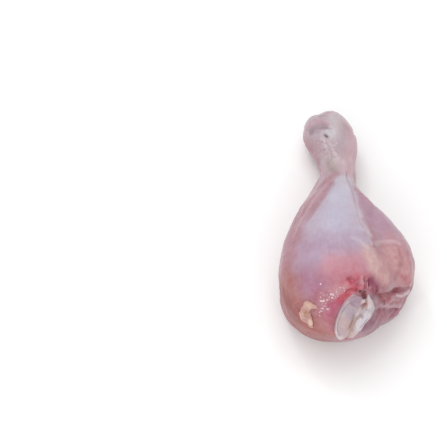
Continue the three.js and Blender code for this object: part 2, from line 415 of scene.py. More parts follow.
# Washes of colour laid over each other in this order: colour, strength, reach in
# millimetres, and the line on the sheet along which the brush goes. First the sides and the
# far end, each on a sheet held square to its own line of sight.
SIDE_WASHES = (
    (UNDERSIDE, (
        ("ae8086", 0.9, 26, [(-0.1, 0.32), (-0.05, 0.1)]),
        ("b9929a", 0.8, 12, [(0.0, -0.05), (0.0, -0.3)]),
        ("a8747c", 0.6, 12, [(-0.2, 0.3), (0.1, 0.2)]),
        ("bfa3a8", 0.7, 8, [(-0.05, -0.42), (-0.2, -0.4)]),
    )),
    (LEFT_SIDE, (
        ("b98890", 0.9, 20, [(0.7, -0.02), (0.3, 0.0)]),
        ("b0767a", 0.8, 16, [(0.9, -0.04), (0.6, -0.10)]),
        ("b8827e", 0.7, 16, [(0.85, 0.02), (0.7, -0.03)]),
        ("a87880", 0.7, 9, [(0.8, -0.15), (0.3, -0.16), (0.0, -0.12)]),
        ("bf9fab", 0.8, 9, [(0.45, 0.09), (0.1, 0.05)]),
        ("bda4ab", 0.8, 8, [(-0.3, 0.0), (-0.6, -0.03)]),
        ("c4b6ba", 0.8, 10, [(-0.85, -0.05), (-0.95, -0.09)]),
        ("c6b2b8", 0.6, 1.6, [(0.1, 0.03), (-0.2, 0.0), (-0.5, -0.02)]),
        ("9c6672", 0.4, 1.0, [(0.62, 0.06), (0.45, 0.03), (0.3, 0.035), (0.1, 0.0)]),
        ("9c6672", 0.35, 0.9, [(0.45, 0.03), (0.4, -0.02), (0.25, -0.05)]),
    )),
    (RIGHT_SIDE, (
        ("b88e9a", 0.9, 16, [(-0.6, 0.0), (-0.1, 0.01)]),
        ("ad7a82", 0.8, 11, [(-0.8, -0.09), (-0.3, -0.12)]),
        ("c4a8b4", 0.7, 6, [(-0.35, 0.06), (0.0, 0.03), (0.3, 0.0)]),
        ("c39296", 0.7, 7, [(-0.7, 0.04), (-0.55, 0.0)]),
        ("c9a49c", 0.6, 4, [(-0.62, -0.04), (-0.5, -0.055)]),
        ("c0a8ae", 0.8, 8, [(0.3, -0.03), (0.6, -0.05)]),
        ("c4b6ba", 0.8, 10, [(0.85, -0.06), (0.95, -0.09)]),
        ("d2c6ca", 0.7, 1.6, [(0.05, 0.0), (0.35, -0.03), (0.65, -0.04)]),
        ("cfc0c6", 0.5, 1.4, [(0.1, -0.03), (0.4, -0.055), (0.6, -0.065)]),
        ("9c6672", 0.4, 1.0, [(-0.5, -0.03), (-0.3, -0.01), (-0.1, -0.02), (0.1, -0.01)]),
    )),
    (FAR_SIDE, (
        ("c4babd", 0.9, 11, [(0.0, -0.37), (0.2, -0.33)]),
        ("bc9aa2", 0.7, 7, [(-0.1, -0.42), (0.2, -0.41)]),
        ("cdc4c6", 0.7, 5, [(0.0, -0.33), (0.1, -0.32)]),
        ("a88088", 0.6, 2.0, [(-0.05, -0.375), (0.05, -0.385), (0.12, -0.375)]),
    )),
)

# Then the side that faces the knee end, which shows most.
FLESH_WASHES = (
    # lilac and rose over the big inner calf
    ("b88c98", 0.9, 12, [(-0.42, -0.25), (-0.42, -0.10), (-0.33, 0.02), (-0.2, 0.1)]),
    ("b9a3b5", 0.9, 16, [(-0.36, -0.19), (-0.2, -0.13), (-0.05, -0.10)]),
    ("b58d98", 0.8, 9, [(-0.44, -0.18), (-0.42, -0.08), (-0.36, 0.0)]),
    ("b9a1b5", 0.8, 9, [(-0.36, -0.11), (-0.2, -0.13), (-0.03, -0.125), (0.08, -0.115)]),
    ("cc96a2", 0.9, 11, [(-0.14, -0.18), (0.0, -0.165), (0.10, -0.155)]),
    ("c48490", 0.9, 10, [(-0.2, -0.225), (-0.08, -0.215), (0.02, -0.205)]),
    ("b18298", 0.9, 10, [(-0.33, -0.22), (-0.25, -0.25)]),
    # brown-red of the near lower rim, here and in the darker washes below: its own colour, deepened
    # with painted shade where the rim faces down
    ("b07672", 0.95, 12, [(-0.46, -0.23), (-0.45, -0.28), (-0.38, -0.34)]),
    ("a8645c", 0.95, 11, [(-0.38, -0.34), (-0.25, -0.38), (-0.15, -0.39)]),
    ("bb8285", 0.9, 8, [(-0.2, -0.33), (-0.16, -0.37)]),
    ("a05a52", 0.9, 9, [(-0.38, -0.39), (-0.22, -0.43), (-0.08, -0.45)]),
    ("98504c", 0.9, 10, [(-0.49, -0.27), (-0.46, -0.31), (-0.40, -0.36)]),
    ("ba7a86", 0.9, 8, [(-0.22, -0.28), (-0.17, -0.33)]),
    # the pearly film, widest in the middle of the calf: its own whitish colour, partly
    # painted sheen where it is brightest
    ("cecad6", 0.95, 8, [(0.01, 0.155), (-0.01, 0.10), (-0.04, 0.05)]),
    ("cccbdb", 0.95, 12, [(-0.02, 0.085), (-0.05, 0.04), (-0.08, 0.0)]),
    ("cac8da", 0.9, 15, [(-0.09, 0.0), (-0.12, -0.035)]),
    ("c6bfcf", 0.7, 9, [(-0.24, -0.02), (-0.25, -0.06)]),
    ("cec4d3", 0.85, 6, [(0.06, 0.08), (0.06, 0.0), (0.07, -0.06)]),
    ("c9becd", 0.8, 5, [(0.0, -0.06), (0.06, -0.078), (0.10, -0.10)]),
    ("c0b0c4", 0.7, 9, [(-0.22, -0.09), (-0.05, -0.085), (0.06, -0.09)]),
    ("b79db2", 0.4, 3, [(-0.30, -0.11), (-0.20, -0.095), (-0.10, -0.11)]),
    ("c2a8bc", 0.5, 2.5, [(-0.32, -0.14), (-0.20, -0.12), (-0.05, -0.135)]),
    # the band of shin muscle on its left
    ("ba949e", 0.8, 5.0, [(-0.07, 0.14), (-0.18, 0.08), (-0.29, 0.015), (-0.37, -0.05)]),
    ("b8a4ae", 0.7, 3, [(-0.13, 0.15), (-0.23, 0.095), (-0.34, 0.03)]),
    ("c8aab2", 0.6, 1.2, [(-0.10, 0.145), (-0.20, 0.09), (-0.31, 0.025), (-0.39, -0.05)]),
    ("b48490", 0.5, 1.3, [(-0.05, 0.13), (-0.15, 0.075), (-0.25, 0.012), (-0.32, -0.04)]),
    # the outer muscle, the lobe under it and the fatty patch between
    ("bb98aa", 0.95, 10, [(0.12, 0.07), (0.2, 0.01), (0.27, -0.05), (0.33, -0.09)]),
    ("c09da8", 0.8, 6, [(0.16, 0.10), (0.28, 0.03), (0.38, -0.05), (0.43, -0.12)]),
    ("c69ca4", 0.8, 7, [(0.28, -0.08), (0.36, -0.09), (0.43, -0.12)]),
    ("cb9a9c", 0.95, 10, [(0.28, -0.13), (0.36, -0.17), (0.42, -0.2)]),
    ("cc9c9e", 0.9, 8, [(0.2, -0.17), (0.22, -0.21)]),
    ("d6b4b0", 0.9, 6, [(0.11, -0.12), (0.14, -0.15), (0.16, -0.175)]),
    ("d4aaa8", 0.7, 4, [(0.19, -0.2), (0.24, -0.225)]),
    ("bf8f95", 0.8, 4, [(0.43, -0.13), (0.45, -0.19), (0.45, -0.24)]),
    ("b17a80", 0.6, 1.8, [(0.345, -0.12), (0.365, -0.16), (0.34, -0.20), (0.31, -0.225)]),
    # folds to the right of the knee
    ("a86a74", 0.95, 8, [(0.16, -0.295), (0.3, -0.295), (0.38, -0.29)]),
    ("a8646c", 0.8, 4, [(0.22, -0.282), (0.28, -0.283), (0.27, -0.295)]),
    ("a86e7c", 0.95, 7, [(0.2, -0.335), (0.3, -0.345), (0.37, -0.33)]),
    ("9c707c", 0.9, 7, [(0.1, -0.38), (0.25, -0.385)]),
    ("b27e86", 0.8, 3.4, [(0.33, -0.288), (0.42, -0.283)]),
    ("bb9a9e", 0.7, 2.6, [(0.25, -0.262), (0.30, -0.245)]),
    ("9c4a56", 0.95, 1.7, [(0.14, -0.270), (0.20, -0.277), (0.26, -0.270)]),
    ("a4525e", 0.9, 1.7, [(0.24, -0.272), (0.33, -0.259), (0.42, -0.252)]),
    ("b8646c", 0.6, 2.2, [(0.36, -0.21), (0.40, -0.235), (0.44, -0.24)]),
    ("a88890", 0.8, 3.2, [(0.135, -0.288), (0.165, -0.30), (0.15, -0.325)]),
    ("b89ca2", 0.6, 1.2, [(0.155, -0.285), (0.17, -0.30)]),
    ("94687a", 0.8, 4.5, [(0.15, -0.345), (0.12, -0.37), (0.08, -0.40)]),
    ("8e4652", 0.8, 1.2, [(0.218, -0.298), (0.224, -0.306)]),
    # blood under the film over the knee
    ("ca7480", 0.9, 6, [(-0.05, -0.235), (0.03, -0.228), (0.09, -0.232)]),
    ("d09aa0", 0.7, 3.6, [(-0.14, -0.24), (-0.09, -0.248), (-0.05, -0.24)]),
    ("c65468", 0.95, 3.6, [(-0.03, -0.226), (0.0, -0.233), (0.018, -0.243)]),
    ("c0506a", 0.8, 3, [(-0.12, -0.30), (-0.095, -0.285)]),
    ("c04a5a", 0.95, 2.4, [(-0.10, -0.286), (-0.065, -0.268), (-0.025, -0.253), (0.02, -0.250)]),
    ("92405a", 0.95, 4.2, [(0.105, -0.228), (0.135, -0.238), (0.15, -0.262)]),
    ("b86878", 0.8, 3, [(0.05, -0.225), (0.08, -0.25)]),
    ("d0909a", 0.8, 1.4, [(0.055, -0.21), (0.06, -0.24)]),
    ("cc8c98", 0.7, 1.2, [(0.085, -0.215), (0.083, -0.245)]),
    # near-black lines along the slits beside the sinews and the grooves, here and at 7c2c3a below:
    # dark blood, deepened with painted shade in the slits
    ("7a2c3a", 0.9, 1.1, [(0.072, -0.212), (0.07, -0.25)]),
    ("5c2430", 0.9, 1.0, [(0.097, -0.222), (0.096, -0.246)]),
    ("7c2c38", 0.9, 1.1, [(0.015, -0.253), (0.036, -0.256), (0.060, -0.264)]),
    ("b07078", 0.8, 2.4, [(0.05, -0.268), (0.075, -0.285), (0.07, -0.30)]),
    ("7c2c3a", 0.9, 1.2, [(0.062, -0.262), (0.068, -0.285), (0.06, -0.30)]),
    ("8c3c4c", 0.8, 1.4, [(0.15, -0.255), (0.17, -0.268)]),
    ("9c3c50", 0.7, 1.0, [(-0.06, -0.219), (-0.03, -0.214), (0.0, -0.218)]),
    ("b8607a", 0.85, 3.6, [(-0.13, -0.295), (-0.155, -0.325), (-0.16, -0.35)]),
    ("bb7882", 0.8, 2.8, [(-0.155, -0.35), (-0.14, -0.40)]),
    # ankle knuckle and neck
    ("bdafb6", 0.95, 16, [(-0.15, 0.34), (-0.03, 0.30), (-0.03, 0.22)]),
    ("cec8ca", 0.9, 7, [(-0.14, 0.385), (0.0, 0.375)]),
    ("ccbabf", 0.7, 4, [(0.04, 0.36), (0.10, 0.33), (0.14, 0.29)]),
    ("c6a8b0", 0.7, 2.4, [(-0.24, 0.312), (-0.20, 0.338), (-0.13, 0.345), (-0.07, 0.336)]),
    # painted shade in the groove under the film's fold on the knuckle
    ("a08c94", 0.75, 2.8, [(-0.21, 0.31), (-0.16, 0.326), (-0.08, 0.322)]),
    # paler down the right of the knuckle and neck: painted light on a side the lamps leave darker
    ("d4b9bd", 0.9, 9, [(0.13, 0.30), (0.12, 0.24), (0.09, 0.17)]),
    ("c4b5bb", 0.9, 8, [(-0.09, 0.21), (-0.03, 0.17)]),
    ("b0a39d", 0.7, 4, [(-0.09, 0.195), (-0.06, 0.16)]),
    ("b58f96", 0.8, 3, [(-0.08, 0.13), (-0.03, 0.155)]),
    ("d0b8be", 0.8, 5, [(0.05, 0.19), (0.04, 0.15)]),
    # near-black in the small pit on the knuckle: painted shade
    ("4a2c34", 0.95, 0.9, [(-0.116, 0.302), (-0.092, 0.287)]),
    # white edges where films meet
    ("d8d2dc", 0.6, 2.2, [(0.055, 0.14), (0.08, 0.08), (0.077, 0.03), (0.085, -0.02),
                          (0.12, -0.07), (0.15, -0.11)]),
    ("d8d0da", 0.45, 1.7, FILM_CORNER),
    ("dcc6ca", 0.5, 1.7, LOBE_EDGE),
    ("ccaeb6", 0.6, 1.7, FOLD_EDGE),
    ("dcc8cc", 0.9, 1.3, [(0.33, -0.271), (0.37, -0.275), (0.41, -0.274), (0.45, -0.267)]),
    ("dcd4d6", 0.6, 0.9, [(-0.15, 0.288), (-0.12, 0.274), (-0.10, 0.262)]),
    ("dcd4d6", 0.6, 0.9, [(-0.13, 0.262), (-0.10, 0.245), (-0.09, 0.222)]),
    ("dcd4d6", 0.6, 0.9, [(-0.10, 0.272), (-0.075, 0.255), (-0.06, 0.235)]),
    ("dcd4d6", 0.6, 0.9, [(-0.07, 0.235), (-0.045, 0.222), (-0.03, 0.205)]),
)


# The noise by which washes wander: the size of its lumps and how far it moves them, in
# millimetres. Each axis reads the noise at a place of its own.
WANDERINGS = ((9, 1.1), (2.5, 0.35))
NOISE_PLACES = (Vector((9.3, -1.5, -8.0)), Vector((4.2, 31.7, 2.6)), Vector((-57.1, 6.4, 13.9)))


def wandering(points):
    """The points moved a little by a noise, so that washes get uneven edges."""
    moved = points.copy()
    for lump_size, reach in WANDERINGS:
        for axis, start in enumerate(NOISE_PLACES):
            drift = [noise.noise(Vector(p) / (lump_size * MM) + start) for p in points]
            moved[:, axis] += np.array(drift) * reach * MM
    return moved


# A wash's brush: its true reach as a share of the one given, how far its full colour
# spreads from the middle, the share of its length over which it thins at each end, and the
# darkest paint.
BRUSH_REACH = 1.08
BRUSH_FULLNESS = 1.35
BRUSH_TAPER = 0.15
DARKEST = 0.004


def paint(piece, ground, *layers):
    """Lays each layer's washes, seen from its side, over the ground colour, into the
    attribute that the material reads."""
    points = wandering(places(piece))
    skin = Surface(piece)
    seen = np.tile(colour(ground), (len(points), 1))
    for sight, washes in layers:
        for code, strength, reach, marks in washes:
            line = skin.path(marks, sight)
            near = nearness(points, line, BRUSH_REACH * reach * MM, BRUSH_TAPER)[:, None]
            seen += (colour(code) - seen) * np.clip(near * BRUSH_FULLNESS, 0, 1) * strength
    pigment = np.clip(seen - GLOSS_VEIL, DARKEST, 1) * PAINT_SHARE
    layer = piece.data.attributes.new("tint", "FLOAT_COLOR", "POINT")
    layer.data.foreach_set("color", np.column_stack([pigment, np.ones(len(seen))]).ravel())


# Where the surface is wettest: strength, reach in millimetres, line on the sheet.
WET_PLACES = (
    (1.0, 5, [(-0.25, -0.29), (-0.18, -0.265), (-0.10, -0.25)]),
    (0.8, 4, [(-0.23, -0.31), (-0.18, -0.32)]),
    (1.0, 6, [(-0.03, -0.235), (0.06, -0.245), (0.15, -0.255)]),
    (0.7, 6, [(-0.32, -0.31), (-0.28, -0.36)]),
    (0.8, 6, [(-0.12, 0.26), (-0.06, 0.22)]),
    (0.6, 8, [(0.2, -0.27), (0.36, -0.28)]),
)

# Where fat speckles the film, in the same way.
FATTY_PLACES = (
    (1.0, 6, [(0.11, -0.12), (0.14, -0.15), (0.17, -0.18)]),
    (0.9, 6, [(0.2, -0.17), (0.24, -0.2), (0.24, -0.225)]),
    (0.6, 8, [(0.28, -0.13), (0.36, -0.17), (0.40, -0.2)]),
    (0.6, 5, [(0.16, -0.29), (0.34, -0.29)]),
    (0.5, 6, [(-0.12, 0.26), (-0.04, 0.2)]),
)


def mark(piece, skin, name, marked):
    """Writes how strongly each point is marked into the attribute of that name."""
    points = wandering(places(piece))
    amount = np.zeros(len(points))
    for strength, reach, marks in marked:
        near = nearness(points, skin.path(marks), reach * MM)
        amount = np.maximum(amount, near * strength)
    piece.data.attributes.new(name, "FLOAT", "POINT").data.foreach_set("value", amount)


# ---- Strands, lumps and the knee ------------------------------------------------------


def ring_axes(way, normal):
    """Side, outward and lengthwise directions of a strand's ring."""
    side = normal.cross(way).normalized()
    return side, way.cross(side), way


def turn_ring(before, now, centre):
    """Turns the selected ring from one lengthwise direction to the next."""
    straight = 0.001
    angle = before.angle(now)
    if angle < straight:
        return
    axis = before.cross(now).normalized()
    other = axis.orthogonal().normalized()
    bpy.ops.transform.rotate(
        value=-angle, orient_axis="Z", orient_matrix_type="GLOBAL",
        orient_matrix=Matrix((other, axis.cross(other), axis)), center_override=centre,
    )


def strand(skin, marks, widths, flat, lift):
    """A strand laid over the flesh through these sheet points: a ring extruded from place
    to place. The widths are spread evenly from end to end; flat is the thickness as a share
    of the width, and lift is how far out of the flesh it runs. Both sizes in millimetres."""
    line = [Vector(place) for place in skin.path(marks, steps=4)]
    normals = [skin.normal_at(place) for place in line]
    line = [place + normal * (lift * MM) for place, normal in zip(line, normals)]
    ways = [(b - a).normalized() for a, b in zip(line[:1] + line[:-1], line[1:] + line[-1:])]
    shares = np.linspace(0, 1, len(line))
    sizes = np.interp(shares, np.linspace(0, 1, len(widths)), widths) * MM
    side, out, way = ring_axes(ways[0], normals[0])
    facing = Matrix((side, out, way)).transposed().to_euler()
    bpy.ops.mesh.primitive_circle_add(
        vertices=8, radius=sizes[0] / 2, fill_type="NGON", location=line[0], rotation=facing
    )
    piece = bpy.context.object
    bpy.ops.object.transform_apply()
    bpy.ops.object.mode_set(mode="EDIT")
    bpy.ops.mesh.select_all(action="SELECT")
    bpy.ops.transform.resize(
        value=(1, flat, 1), orient_matrix=Matrix((side, out, way)),
        orient_matrix_type="GLOBAL", center_override=line[0],
    )
    for index in range(1, len(line)):
        bpy.ops.mesh.extrude_region_move(
            TRANSFORM_OT_translate={"value": line[index] - line[index - 1]}
        )
        turn_ring(ways[index - 1], ways[index], line[index])
        grow = sizes[index] / sizes[index - 1]
        bpy.ops.transform.resize(value=(grow, grow, grow), center_override=line[index])
    bpy.ops.mesh.select_all(action="SELECT")
    bpy.ops.mesh.normals_make_consistent(inside=False)
    bpy.ops.object.mode_set(mode="OBJECT")
    modify(piece, "SUBSURF", levels=2, render_levels=2)
    return piece


def ball(place, facing, size, squash, turn=0.0, long=1.0):
    """A ball of that size in millimetres, flattened along the direction that it faces, and
    turned about it."""
    axes = facing.to_track_quat("Z", "Y").to_matrix() @ Matrix.Rotation(turn, 3, "Z")
    bpy.ops.mesh.primitive_uv_sphere_add(
        segments=16, ring_count=10, radius=size / 2 * MM, location=place,
        rotation=axes.to_euler(), scale=(1, long, squash),
    )
    piece = bpy.context.object
    bpy.ops.object.transform_apply()
    return piece


def lump(skin, across, along, size, lift, **shape):
    """A ball pressed against the flesh, its middle that far out of it in millimetres."""
    place, normal = skin.spot(across, along)
    return ball(place + normal * lift * MM, normal, size, **shape)


def joined(name, pieces):
    """One piece of that name out of several."""
    pick_only(*pieces)
    bpy.ops.object.join()
    piece = bpy.context.object
    piece.name = name
    return piece


def grown_together(name, pieces, voxel, soften, bumps, bump_size):
    """Joins pieces into one body with soft creases where they meet, and roughens it. The
    voxel, the height of the bumps and their size are in millimetres."""
    piece = joined(name, pieces)
    modify(piece, "REMESH", mode="VOXEL", voxel_size=voxel * MM)
    modify(piece, "SMOOTH", factor=0.5, iterations=soften)
    lumps = cloud(name + "_lumps", bump_size * MM)
    modify(piece, "DISPLACE", strength=bumps * MM, texture=lumps)
    return piece


def refined(piece):
    """The piece with each face split in four and rounded."""
    modify(piece, "SUBSURF", levels=1, render_levels=1)
    return piece


def knee_cartilage():
    """The oval end of the shin bone: a dished disc with a raised rim and a curl above."""
    low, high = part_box("knee_gristle")
    facing = Vector((0.05, -0.8, 0.6)).normalized()
    rise = Vector((0, 0.6, 0.8))
    centre = (low + high) / 2 + Vector((0.3, 0, 0)) * MM + rise * 2.6 * MM
    half_width = 4.6 * MM
    half_height = 11.0 * MM
    thickness = 4.4 * MM
    narrowing = 0.95  # of the disc's face against its foot
    lean = math.radians(-19)
    # from the edge inwards: each inset as a share of the radius, and the rise after it
    face_steps = ((0.10, 0.6 * MM), (0.10, -1.3 * MM), (0.35, 0.5 * MM))
    bpy.ops.mesh.primitive_circle_add(vertices=36, radius=1, fill_type="NGON")
    disc = bpy.context.object
    bpy.ops.object.mode_set(mode="EDIT")
    bpy.ops.mesh.select_all(action="SELECT")
    bpy.ops.mesh.extrude_region_move(TRANSFORM_OT_translate={"value": (0, 0, thickness)})
    bpy.ops.transform.resize(value=(narrowing, narrowing, 1))
    for inset, step in face_steps:
        bpy.ops.mesh.inset(thickness=inset, depth=0.0)
        bpy.ops.transform.translate(value=(0, 0, step))
    bpy.ops.object.mode_set(mode="OBJECT")
    turn = facing.to_track_quat("Z", "Y").to_matrix() @ Matrix.Rotation(lean, 3, "Z")
    disc.scale = (half_width, half_height, 1)
    disc.rotation_euler = turn.to_euler()
    disc.location = centre - facing * 2.0 * MM
    pick_only(disc)
    bpy.ops.object.transform_apply()

    def on_face(across, up, out):
        """The place that far from the disc's middle, in millimetres."""
        return centre + (turn @ Vector((across, up, 0)) + facing * out) * MM

    curl = [
        ball(on_face(1.7, 7.8, 1.2), facing, 5.6, squash=0.32, long=1.2),
        ball(on_face(4.2, 8.4, 1.6), facing, 2.2, squash=0.6, turn=-0.3, long=1.8),
        ball(on_face(4.3, 5.6, 1.8), facing, 2.6, squash=0.6, turn=0.2, long=1.6),
        ball(on_face(2.9, 3.4, 1.8), facing, 2.4, squash=0.5, turn=0.8, long=1.5),
        ball(on_face(0.6, 4.4, 1.6), facing, 2.2, squash=0.45, turn=1.0, long=1.8),
    ]
    return refined(grown_together(
        "knee_cartilage", [disc, *curl], voxel=0.42, soften=3, bumps=0.35, bump_size=1.6
    ))


# The dark line along the seam between the cartilage and the band, which both carry:
# painted shade in the gap between them.
SEAM_SHADE_WASH = ("7c3440", 0.85, 0.9, [(0.074, -0.276), (0.062, -0.300), (0.036, -0.314)])

CARTILAGE_WASHES = (
    ("c6bbbd", 0.9, 4, [(-0.10, -0.37), (-0.08, -0.32)]),
    ("cab0ae", 0.9, 5, [(-0.05, -0.38), (-0.03, -0.33)]),
    ("c4a49e", 0.9, 2.4, [(-0.005, -0.33), (-0.005, -0.36), (-0.03, -0.39)]),
    ("b4a4b0", 0.9, 2.6, [(-0.07, -0.31), (-0.03, -0.325), (-0.01, -0.345)]),
    # greyish mauve in the hollow under the curl at the disc's top: its own tint, darkened as painted
    # shade in the hollow
    ("a88c9c", 0.95, 3.4, [(-0.015, -0.284), (0.025, -0.286)]),
    ("8e7288", 0.7, 1.2, [(-0.03, -0.295), (0.0, -0.306), (0.025, -0.302)]),
    ("dabab4", 0.9, 1.3, [(0.04, -0.266), (0.058, -0.275), (0.056, -0.295), (0.035, -0.312)]),
    ("e0d8dc", 0.9, 1.5, [(-0.13, -0.375), (-0.135, -0.34), (-0.115, -0.30), (-0.07, -0.28)]),
    ("dccac8", 0.9, 1.4, [(-0.07, -0.280), (-0.02, -0.268), (0.035, -0.266)]),
    ("ddd2d2", 0.9, 1.6, [(-0.125, -0.385), (-0.09, -0.412), (-0.04, -0.415)]),
    ("c0988c", 0.8, 1.3, [(0.016, -0.325), (0.015, -0.35), (0.005, -0.375), (-0.01, -0.405)]),
    ("d0707c", 0.5, 1.0, [(-0.118, -0.31), (-0.105, -0.30)]),
    SEAM_SHADE_WASH,
)


# The fibres of the knee's white band: points on the sheet, widths from end to end in
# millimetres, how flat, and how far out of the flesh.
BAND_FIBRES = (
    # its body
    ([(-0.01, -0.412), (0.028, -0.37), (0.072, -0.335), (0.095, -0.303), (0.093, -0.270)],
     [2.4, 6.6, 8.8, 7.2, 3.0], 0.42, 0.9),
    # the seam of tissue that closes the gap between the band and the cartilage
    ([(-0.03, -0.418), (0.0, -0.375), (0.025, -0.335), (0.055, -0.305), (0.068, -0.28)],
     [1.6, 3.4, 3.6, 3.4, 1.6], 0.6, 0.2),
    # the band's right edge
    ([(0.04, -0.375), (0.09, -0.345), (0.128, -0.322)], [1.5, 3.4, 1.8], 0.5, 0.4),
    ([(0.097, -0.272), (0.116, -0.297), (0.128, -0.320), (0.105, -0.345)],
     [1.0, 2.2, 2.6, 2.0], 0.5, 0.3),
    # raised fibres
    ([(0.0, -0.402), (0.035, -0.365), (0.06, -0.33)], [1.0, 2.4, 1.2], 0.6, 1.9),
    ([(0.03, -0.385), (0.075, -0.35), (0.11, -0.33)], [0.8, 1.8, 0.8], 0.6, 2.1),
    ([(0.06, -0.33), (0.09, -0.305), (0.095, -0.28)], [0.8, 2.0, 0.8], 0.6, 1.8),
)


def knee_band(skin):
    """The white ligament to the right of the cartilage, a fan of fibres grown together."""
    fan = [strand(skin, *fibre) for fibre in BAND_FIBRES]
    return refined(grown_together(
        "knee_band", fan, voxel=0.4, soften=7, bumps=0.5, bump_size=1.8
    ))


BAND_WASHES = (
    # greyish mauve along the band's right edge: painted shade
    ("b39fae", 0.9, 2.6, [(0.05, -0.40), (0.09, -0.37), (0.13, -0.335)]),
    ("d6ced4", 0.9, 2.4, [(0.02, -0.385), (0.06, -0.35), (0.11, -0.33)]),
    ("d8d2d4", 0.8, 1.6, [(0.085, -0.29), (0.115, -0.31)]),
    ("c6a294", 0.9, 1.8, [(0.085, -0.272), (0.082, -0.295), (0.07, -0.31)]),
    ("b48e86", 0.9, 2.0, [(0.07, -0.275), (0.05, -0.30), (0.03, -0.315)]),
    ("b3988a", 0.95, 1.8, [(0.03, -0.312), (0.012, -0.325), (0.001, -0.346), (-0.014, -0.375),
                           (-0.022, -0.404)]),
    ("a2867a", 0.6, 1.0, [(0.03, -0.325), (0.015, -0.345), (0.003, -0.37), (-0.012, -0.40)]),
    ("c89482", 0.7, 1.3, [(0.0, -0.395), (0.003, -0.415)]),
    # grey dents in the band: painted shade in its dimples
    ("8c8c8a", 0.8, 1.0, [(0.075, -0.318), (0.10, -0.322)]),
    ("867c74", 0.8, 1.1, [(0.03, -0.338), (0.045, -0.345)]),
    ("a89aa8", 0.6, 0.9, [(0.035, -0.38), (0.07, -0.355), (0.10, -0.345)]),
    SEAM_SHADE_WASH,
)

# Fat: place on the sheet, size in millimetres, how long for its width.
FAT_LUMPS = (
    (-0.320, -0.303, 2.6, 1.3), (-0.302, -0.307, 2.2, 1.4), (-0.285, -0.305, 2.2, 1.3),
    (-0.268, -0.309, 1.6, 1.6), (-0.334, -0.318, 2.4, 1.2), (-0.346, -0.334, 2.4, 1.3),
    (-0.338, -0.350, 2.2, 1.2), (-0.322, -0.355, 2.0, 1.3), (-0.312, -0.322, 1.8, 1.3),
    (-0.298, -0.348, 2.2, 1.3), (-0.290, -0.362, 2.4, 1.2), (-0.284, -0.373, 1.8, 1.2),
    (-0.320, -0.334, 2.6, 1.4), (-0.326, -0.342, 2.0, 1.2), (-0.300, -0.318, 1.4, 1.5),
)


def fat_pad(skin):
    """The patch of soft fat to the left of the knee, lumps that run into each other."""
    overlap = 1.2
    turn_step = 0.7
    blobs = [
        lump(skin, across, along, size * overlap, lift=0.4, squash=0.75,
             turn=index * turn_step, long=long)
        for index, (across, along, size, long) in enumerate(FAT_LUMPS)
    ]
    return refined(grown_together(
        "fat_pad", blobs, voxel=0.3, soften=1, bumps=0.5, bump_size=0.9
    ))


FAT_WASHES = (
    ("c8a294", 0.9, 2.6, [(-0.33, -0.305), (-0.28, -0.306)]),
    # olive-brown middle of the ring of lumps: its own tint, darkened as painted shade in the hollow
    ("a87c68", 0.9, 1.9, [(-0.326, -0.342), (-0.320, -0.33)]),
    ("caa49a", 0.8, 1.6, [(-0.35, -0.33), (-0.35, -0.35)]),
    # the lowest lump's cream, lightened to a painted highlight
    ("e2c4b4", 0.95, 2.0, [(-0.292, -0.362), (-0.288, -0.37)]),
    ("d8b4a4", 0.8, 1.2, [(-0.31, -0.304), (-0.295, -0.31)]),
)

# Blood clots: place on the sheet, size in millimetres, how long for their width, turn.
CLOTS = (
    (0.060, -0.268, 1.5, 1.5, 0.3), (0.070, -0.259, 1.0, 1.6, 1.0), (0.04, -0.255, 0.9, 1.8, 1.3),
    (0.072, -0.280, 0.8, 2.2, 0.2), (0.066, -0.294, 0.8, 2.2, 2.9), (0.052, -0.305, 1.1, 1.6, 2.3),
    (0.036, -0.312, 1.4, 1.3, 2.0), (0.0, -0.31, 0.8, 1.2, 0.5), (0.158, -0.262, 0.8, 1.4, 1.2),
    (0.218, -0.303, 0.8, 1.4, 0.4),
)


def clots(skin):
    """Clotted blood in the creases over the knee and beside it."""
    drops = [
        lump(skin, across, along, size, lift=0.5, squash=0.6, turn=turn, long=long)
        for across, along, size, long, turn in CLOTS
    ]
    return refined(grown_together(
        "blood_clots", drops, voxel=0.25, soften=2, bumps=0.2, bump_size=0.8
    ))


# Pale beads over the knee and on the knuckle, painted highlights where the wet film glints:
# middle and spread on the sheet, and number.
GLINT_BEADS = (
    ((-0.152, -0.272), (0.024, 0.007), 17),
    ((-0.182, -0.280), (0.020, 0.006), 6),
    ((-0.214, -0.291), (0.020, 0.007), 15),
    ((-0.234, -0.318), (0.012, 0.009), 8),
    ((-0.195, -0.313), (0.012, 0.006), 6),
    ((-0.092, -0.248), (0.016, 0.006), 5),
    ((-0.230, -0.234), (0.006, 0.003), 2),
    ((-0.098, 0.268), (0.022, 0.012), 12),
    ((-0.060, 0.235), (0.02, 0.015), 8),
)


def glint_beads(skin):
    """Small flat beads of all lengths, strewn where the film is wettest, as painted glints."""
    smallest = 0.36
    largest = 0.58
    longest = 2.4  # for its width
    dice = np.random.default_rng(11)
    beads = []
    for centre, spread, number in GLINT_BEADS:
        for _ in range(number):
            across, along = np.array(centre) + np.array(spread) * dice.normal(0, 1, 2)
            beads.append(
                lump(skin, across, along, dice.uniform(smallest, largest), lift=0.06,
                     squash=0.6, turn=dice.uniform(0, math.pi), long=dice.uniform(1, longest))
            )
    return grown_together("glint_beads", beads, voxel=0.11, soften=1, bumps=0.05, bump_size=0.5)


# Strands of sinew that cross the torn flesh over the knee, given as the band's fibres are.
SINEWS = (
    ([(0.050, -0.200), (0.056, -0.222), (0.066, -0.246)], [0.5, 1.2, 0.6], 0.5, -0.25),
    ([(0.096, -0.215), (0.094, -0.24), (0.088, -0.268)], [0.4, 0.8, 0.5], 0.7, -0.1),
)


def sinews(skin):
    """The loose strands of sinew, as one piece."""
    return joined("sinews", [strand(skin, *sinew) for sinew in SINEWS])


# ---- Materials ------------------------------------------------------------------------


